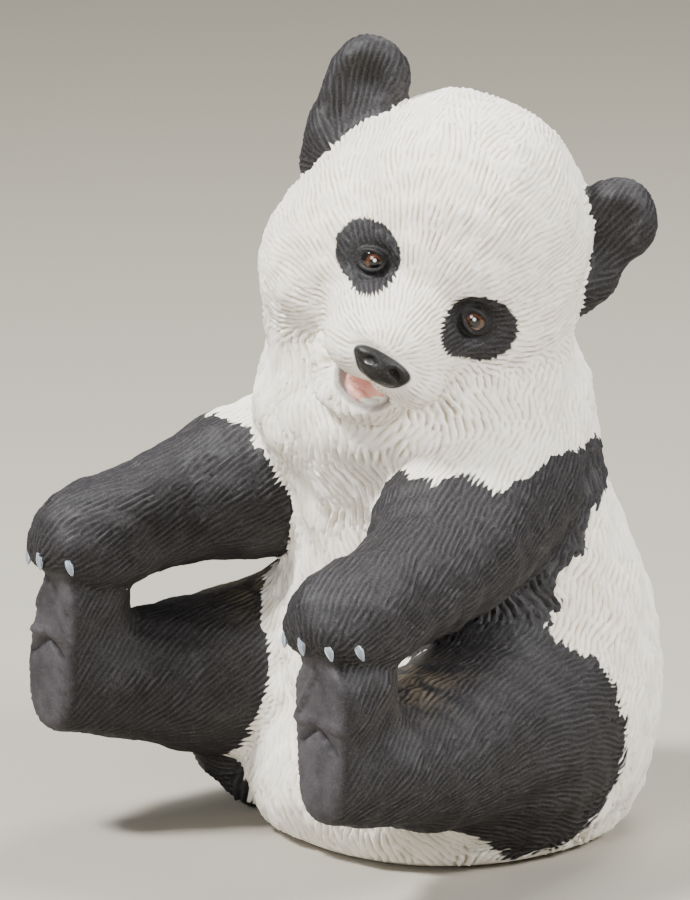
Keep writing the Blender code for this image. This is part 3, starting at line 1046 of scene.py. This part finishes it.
def put_brushwork(mesh, points):
    """Keeps how much of the tan wash and of the thighs' dusting lies at each point."""
    on_left = points[:, 0] > 0
    head_x, _, head_z = to_head(points).T
    forehead = soft_spot(head_x, head_z, *FOREHEAD_WASH)
    cheek = soft_spot(head_x, head_z, *CHEEK_WASH)
    flank = soft_spot(points[:, 1], points[:, 2], *FLANK_WASH) * on_left
    put_numbers(mesh, "wash", np.clip(0.25 + 0.9 * forehead + 0.8 * cheek + 0.6 * flank, 0, 1))
    middle = (DUST_HEIGHT, np.where(on_left, *DUST_PLACES))
    put_numbers(mesh, "dust", 0.6 * soft_spot(points[:, 2], points[:, 1], middle, DUST_REACH))


def face_share(points):
    """One on the middle of the face and zero away from it."""
    on_head = to_head(points)
    near = np.sqrt((on_head[:, 0] / 24) ** 2 + ((on_head[:, 2] + 12) / 24) ** 2)
    return np.clip(1.5 - near, 0, 1) * (on_head[:, 1] < -18) * (on_head[:, 2] > -38)


def cad_mesh():
    """A copy of the CAD node's mesh in model units, with the right haunch's fold roughed out."""
    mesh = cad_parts[CUB].data.copy()
    write_points(mesh, read_points(mesh) / UNIT)
    work = bmesh.new()
    work.from_mesh(mesh)
    for first, last in zip(SPUR[:-1], SPUR[1:]):
        for share in (0.0, 0.5, 1.0):
            x, y, z, radius = (a + (b - a) * share for a, b in zip(first, last))
            place = Matrix.Translation((x, y, z))
            bmesh.ops.create_icosphere(work, subdivisions=3, radius=radius, matrix=place)
    work.to_mesh(mesh)
    work.free()
    return mesh


def place_piece(name, mesh, material, replaces=False):
    """Scales a mesh from model units to metres and makes it a piece of the cub."""
    write_points(mesh, read_points(mesh) * UNIT)
    mesh.materials.clear()
    mesh.materials.append(material)
    mesh.shade_smooth()
    piece = bpy.data.objects.new(name, mesh)
    bpy.context.scene.collection.objects.link(piece)
    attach(piece, "root")
    if replaces:
        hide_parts(CUB)
    return piece


# What every colour property says.
COLOUR = {"subtype": "COLOR", "size": 4, "min": 0.0, "max": 1.0}


class CubSettings(bpy.types.PropertyGroup):
    """Sizes and colours of the cub that a user would change"""

    fineness: bpy.props.FloatProperty(
        name="Skin fineness",
        description="Width of the skin's faces in model units",
        default=0.34,
        min=0.25,
        max=3.0,
    )
    triangles: bpy.props.IntProperty(
        name="Triangles",
        description="Most triangles in the skin",
        default=198000,
        min=20000,
    )
    tuft_gap: bpy.props.FloatProperty(
        name="Tuft spacing",
        description="Spacing of the carved tufts in model units",
        default=2.4,
        min=0.8,
        max=8.0,
    )
    relief: bpy.props.FloatProperty(
        name="Carving depth",
        description="How deep the strands are carved, as a share",
        default=1.0,
        min=0.0,
        max=3.0,
        subtype="FACTOR",
    )
    white: bpy.props.FloatVectorProperty(
        name="White coat",
        description="Colour of the white coat",
        default=linear("FAF6ED"),
        **COLOUR,
    )
    black: bpy.props.FloatVectorProperty(
        name="Black coat",
        description="Colour of the black coat in its grooves",
        default=linear("151416"),
        **COLOUR,
    )
    wash: bpy.props.FloatVectorProperty(
        name="Tan wash",
        description="Colour of the wash in the grooves",
        default=linear("C9AD88"),
        **COLOUR,
    )
    iris: bpy.props.FloatVectorProperty(
        name="Iris",
        description="Colour of the iris",
        default=linear("50301F"),
        **COLOUR,
    )
    claw: bpy.props.FloatVectorProperty(
        name="Claws",
        description="Colour of the claws",
        default=linear("7F8B98"),
        **COLOUR,
    )


class StageSettings(bpy.types.PropertyGroup):
    """Where the camera stands and what the paper looks like"""

    azimuth: bpy.props.FloatProperty(
        name="Camera azimuth",
        description="Camera's turn about the cub, from its chest to its left",
        default=math.radians(50.0),
        subtype="ANGLE",
    )
    elevation: bpy.props.FloatProperty(
        name="Camera elevation",
        description="Camera's height above the horizon",
        default=math.radians(14.5),
        subtype="ANGLE",
    )
    paper: bpy.props.FloatVectorProperty(
        name="Paper",
        description="Colour of the paper away from the cub",
        default=linear("9A9588"),
        **COLOUR,
    )


class CUB_OT_skin(bpy.types.Operator):
    """Casts the cub's skin with its carved fur and painted coat"""

    bl_idname = "cub.skin"
    bl_label = "Cast the skin"

    def execute(self, context):
        settings = context.scene.cub_settings
        mesh = cast_skin(settings)
        if len(mesh.polygons) < 1000:
            raise RuntimeError("the skin has no faces")
        material = painted_bisque(tuple(settings.white), tuple(settings.black), tuple(settings.wash))
        place_piece("cub_skin", mesh, material, replaces=True)
        return {"FINISHED"}


class CUB_OT_eyes(bpy.types.Operator):
    """Sets a glazed eyeball in each socket"""

    bl_idname = "cub.eyes"
    bl_label = "Set the eyes"

    def execute(self, context):
        material = glazed_eye(tuple(context.scene.cub_settings.iris))
        axes = head_axes()
        gaze = unit_rows(np.array([[0.14, -1.0, -0.02]]))[0]
        # The aim of each eye's painted highlight, a little above the pupil.
        glint = unit_rows(np.array([[0.02, -1.0, 0.16]]))[0]
        for name, (centre, _) in zip(("left_eye", "right_eye"), EYE_PLACES):
            work = bmesh.new()
            bmesh.ops.create_uvsphere(work, u_segments=64, v_segments=40, radius=EYE_RADIUS)
            mesh = bpy.data.meshes.new(name)
            work.to_mesh(mesh)
            work.free()
            local = read_points(mesh)
            for field, aim in (("from_pupil", gaze), ("from_glint", glint)):
                angle = np.arccos(np.clip(unit_rows(local) @ aim, -1, 1))
                put_numbers(mesh, field, angle * EYE_RADIUS)
            write_points(mesh, (local + centre) @ axes.T + np.array(HEAD_CENTRE))
            place_piece(name, mesh, material)
        return {"FINISHED"}


class CUB_OT_claws(bpy.types.Operator):
    """Lays a teardrop claw on each toe of both paws"""

    bl_idname = "cub.claws"
    bl_label = "Lay the claws"

    def execute(self, context):
        material = claw_enamel(tuple(context.scene.cub_settings.claw))
        lean = Matrix.Rotation(math.radians(CLAW_LEAN), 4, "Y")
        tip = Matrix.Rotation(math.radians(CLAW_TIP_BACK), 4, "X")
        width, depth, length = CLAW
        for side, name in ((1, "left_claws"), (-1, "right_claws")):
            work = bmesh.new()
            rims = []
            for outwards, z in CLAWS:
                turn = side * math.radians(outwards)
                place = Matrix.Translation(paw_surface(side, turn, z)) @ Matrix.Rotation(turn, 4, "Z")
                place = place @ lean @ tip
                made = bmesh.ops.create_uvsphere(work, u_segments=20, v_segments=14, radius=1.0)
                for vertex in made["verts"]:
                    across, deep, up = vertex.co
                    rims.append(abs(across) + 0.5 * max(0.0, up))
                    slim = 1.0 - CLAW_NARROWING * abs(up) ** 1.5
                    vertex.co = place @ Vector((across * width * slim, deep * depth * slim, up * length))
            mesh = bpy.data.meshes.new(name)
            work.to_mesh(mesh)
            work.free()
            put_numbers(mesh, "rim", rims)
            place_piece(name, mesh, material)
        return {"FINISHED"}


def paw_surface(side, turn, z):
    """Where a level line from the paw's middle, turned outwards by that angle, leaves the paw."""
    # Steps of a twentieth of a unit, from well inside the paw to well outside it.
    out = np.linspace(4.0, 22.0, 361)
    line = stacked(side * PAW[0][0] + math.sin(turn) * out, PAW[0][1] - math.cos(turn) * out, z)
    beyond = np.flatnonzero(figure(line) > 0)
    if not len(beyond):
        raise RuntimeError("no paw where a claw should sit")
    return Vector(line[beyond[0]].tolist())


class CUB_OT_studio(bpy.types.Operator):
    """Lays the sheet of paper, hangs the soft lights and sets the camera"""

    bl_idname = "cub.studio"
    bl_label = "Set up the studio"

    def execute(self, context):
        stage = context.scene.stage_settings
        turn, lift = stage.azimuth, stage.elevation
        right = Vector((math.cos(turn), math.sin(turn), 0))
        toward = Vector((math.sin(turn) * math.cos(lift), -math.cos(turn) * math.cos(lift), math.sin(lift)))
        upward = toward.cross(right)
        lay_paper(tuple(stage.paper))
        context.scene.camera = set_camera(right, upward, toward)
        for name, (across, up, near), width, watts in LAMPS:
            hang_lamp(name, right * across + upward * up + toward * near, width, watts)
        world = bpy.data.worlds.new("soft_room")
        world.use_nodes = True
        background = world.node_tree.nodes["Background"]
        background.inputs["Color"].default_value = linear(ROOM_TINT)
        background.inputs["Strength"].default_value = ROOM_LIGHT
        context.scene.world = world
        return {"FINISHED"}


def set_camera(right, upward, toward):
    """A camera that looks from that side and puts the origin on its pixel of the photograph."""
    across = (PHOTO[0] / 2 - ORIGIN_PIXEL[0]) / PIXELS_PER_UNIT
    up = (ORIGIN_PIXEL[1] - PHOTO[1] / 2) / PIXELS_PER_UNIT
    camera = bpy.data.objects.new("camera", bpy.data.cameras.new("camera"))
    bpy.context.scene.collection.objects.link(camera)
    camera.location = (right * across + upward * up + toward * CAMERA_DISTANCE) * UNIT
    camera.rotation_euler = (-toward).to_track_quat("-Z", "Y").to_euler()
    camera.data.sensor_fit = "VERTICAL"
    camera.data.sensor_height = SENSOR
    camera.data.lens = PIXELS_PER_UNIT * CAMERA_DISTANCE / PHOTO[1] * SENSOR
    return camera


def hang_lamp(name, place, width, watts):
    """A square lamp at that place from a point inside the cub, aimed back at the point."""
    lamp = bpy.data.lights.new(name, "AREA")
    lamp.shape = "SQUARE"
    lamp.size = width
    lamp.energy = watts
    holder = bpy.data.objects.new(name, lamp)
    bpy.context.scene.collection.objects.link(holder)
    holder.location = place + Vector((0, 0, LAMP_AIM))
    holder.rotation_euler = (-place).to_track_quat("-Z", "Y").to_euler()


def lay_paper(colour):
    """A wide flat sheet of paper under the cub, which fills the view from every side above it."""
    work = bmesh.new()
    bmesh.ops.create_grid(work, x_segments=80, y_segments=80, size=PAPER_REACH)
    mesh = bpy.data.meshes.new("paper_sheet")
    work.to_mesh(mesh)
    work.free()
    put_numbers(mesh, "away", np.sqrt((read_points(mesh) ** 2).sum(1)))
    mesh.materials.append(paper(colour))
    sheet = bpy.data.objects.new("paper_sheet", mesh)
    bpy.context.scene.collection.objects.link(sheet)


class CUB_PT_panel(bpy.types.Panel):
    """Lists the cub's sizes and colours and the steps that make it"""

    bl_idname = "CUB_PT_panel"
    bl_label = "Panda cub"
    bl_space_type = "VIEW_3D"
    bl_region_type = "UI"
    bl_category = "Panda cub"

    def draw(self, context):
        for group in (context.scene.cub_settings, context.scene.stage_settings):
            for name in group.__annotations__:
                self.layout.prop(group, name)
        for step in STEPS:
            self.layout.operator(step.bl_idname)


STEPS = (CUB_OT_skin, CUB_OT_eyes, CUB_OT_claws, CUB_OT_studio)
CLASSES = (CubSettings, StageSettings, *STEPS, CUB_PT_panel)


def register():
    for kind in CLASSES:
        bpy.utils.register_class(kind)
    bpy.types.Scene.cub_settings = bpy.props.PointerProperty(type=CubSettings)
    bpy.types.Scene.stage_settings = bpy.props.PointerProperty(type=StageSettings)


def unregister():
    del bpy.types.Scene.stage_settings
    del bpy.types.Scene.cub_settings
    for kind in reversed(CLASSES):
        bpy.utils.unregister_class(kind)


def main():
    register()
    bpy.ops.cub.skin()
    bpy.ops.cub.eyes()
    bpy.ops.cub.claws()
    bpy.ops.cub.studio()


if __name__ == "__main__":
    main()
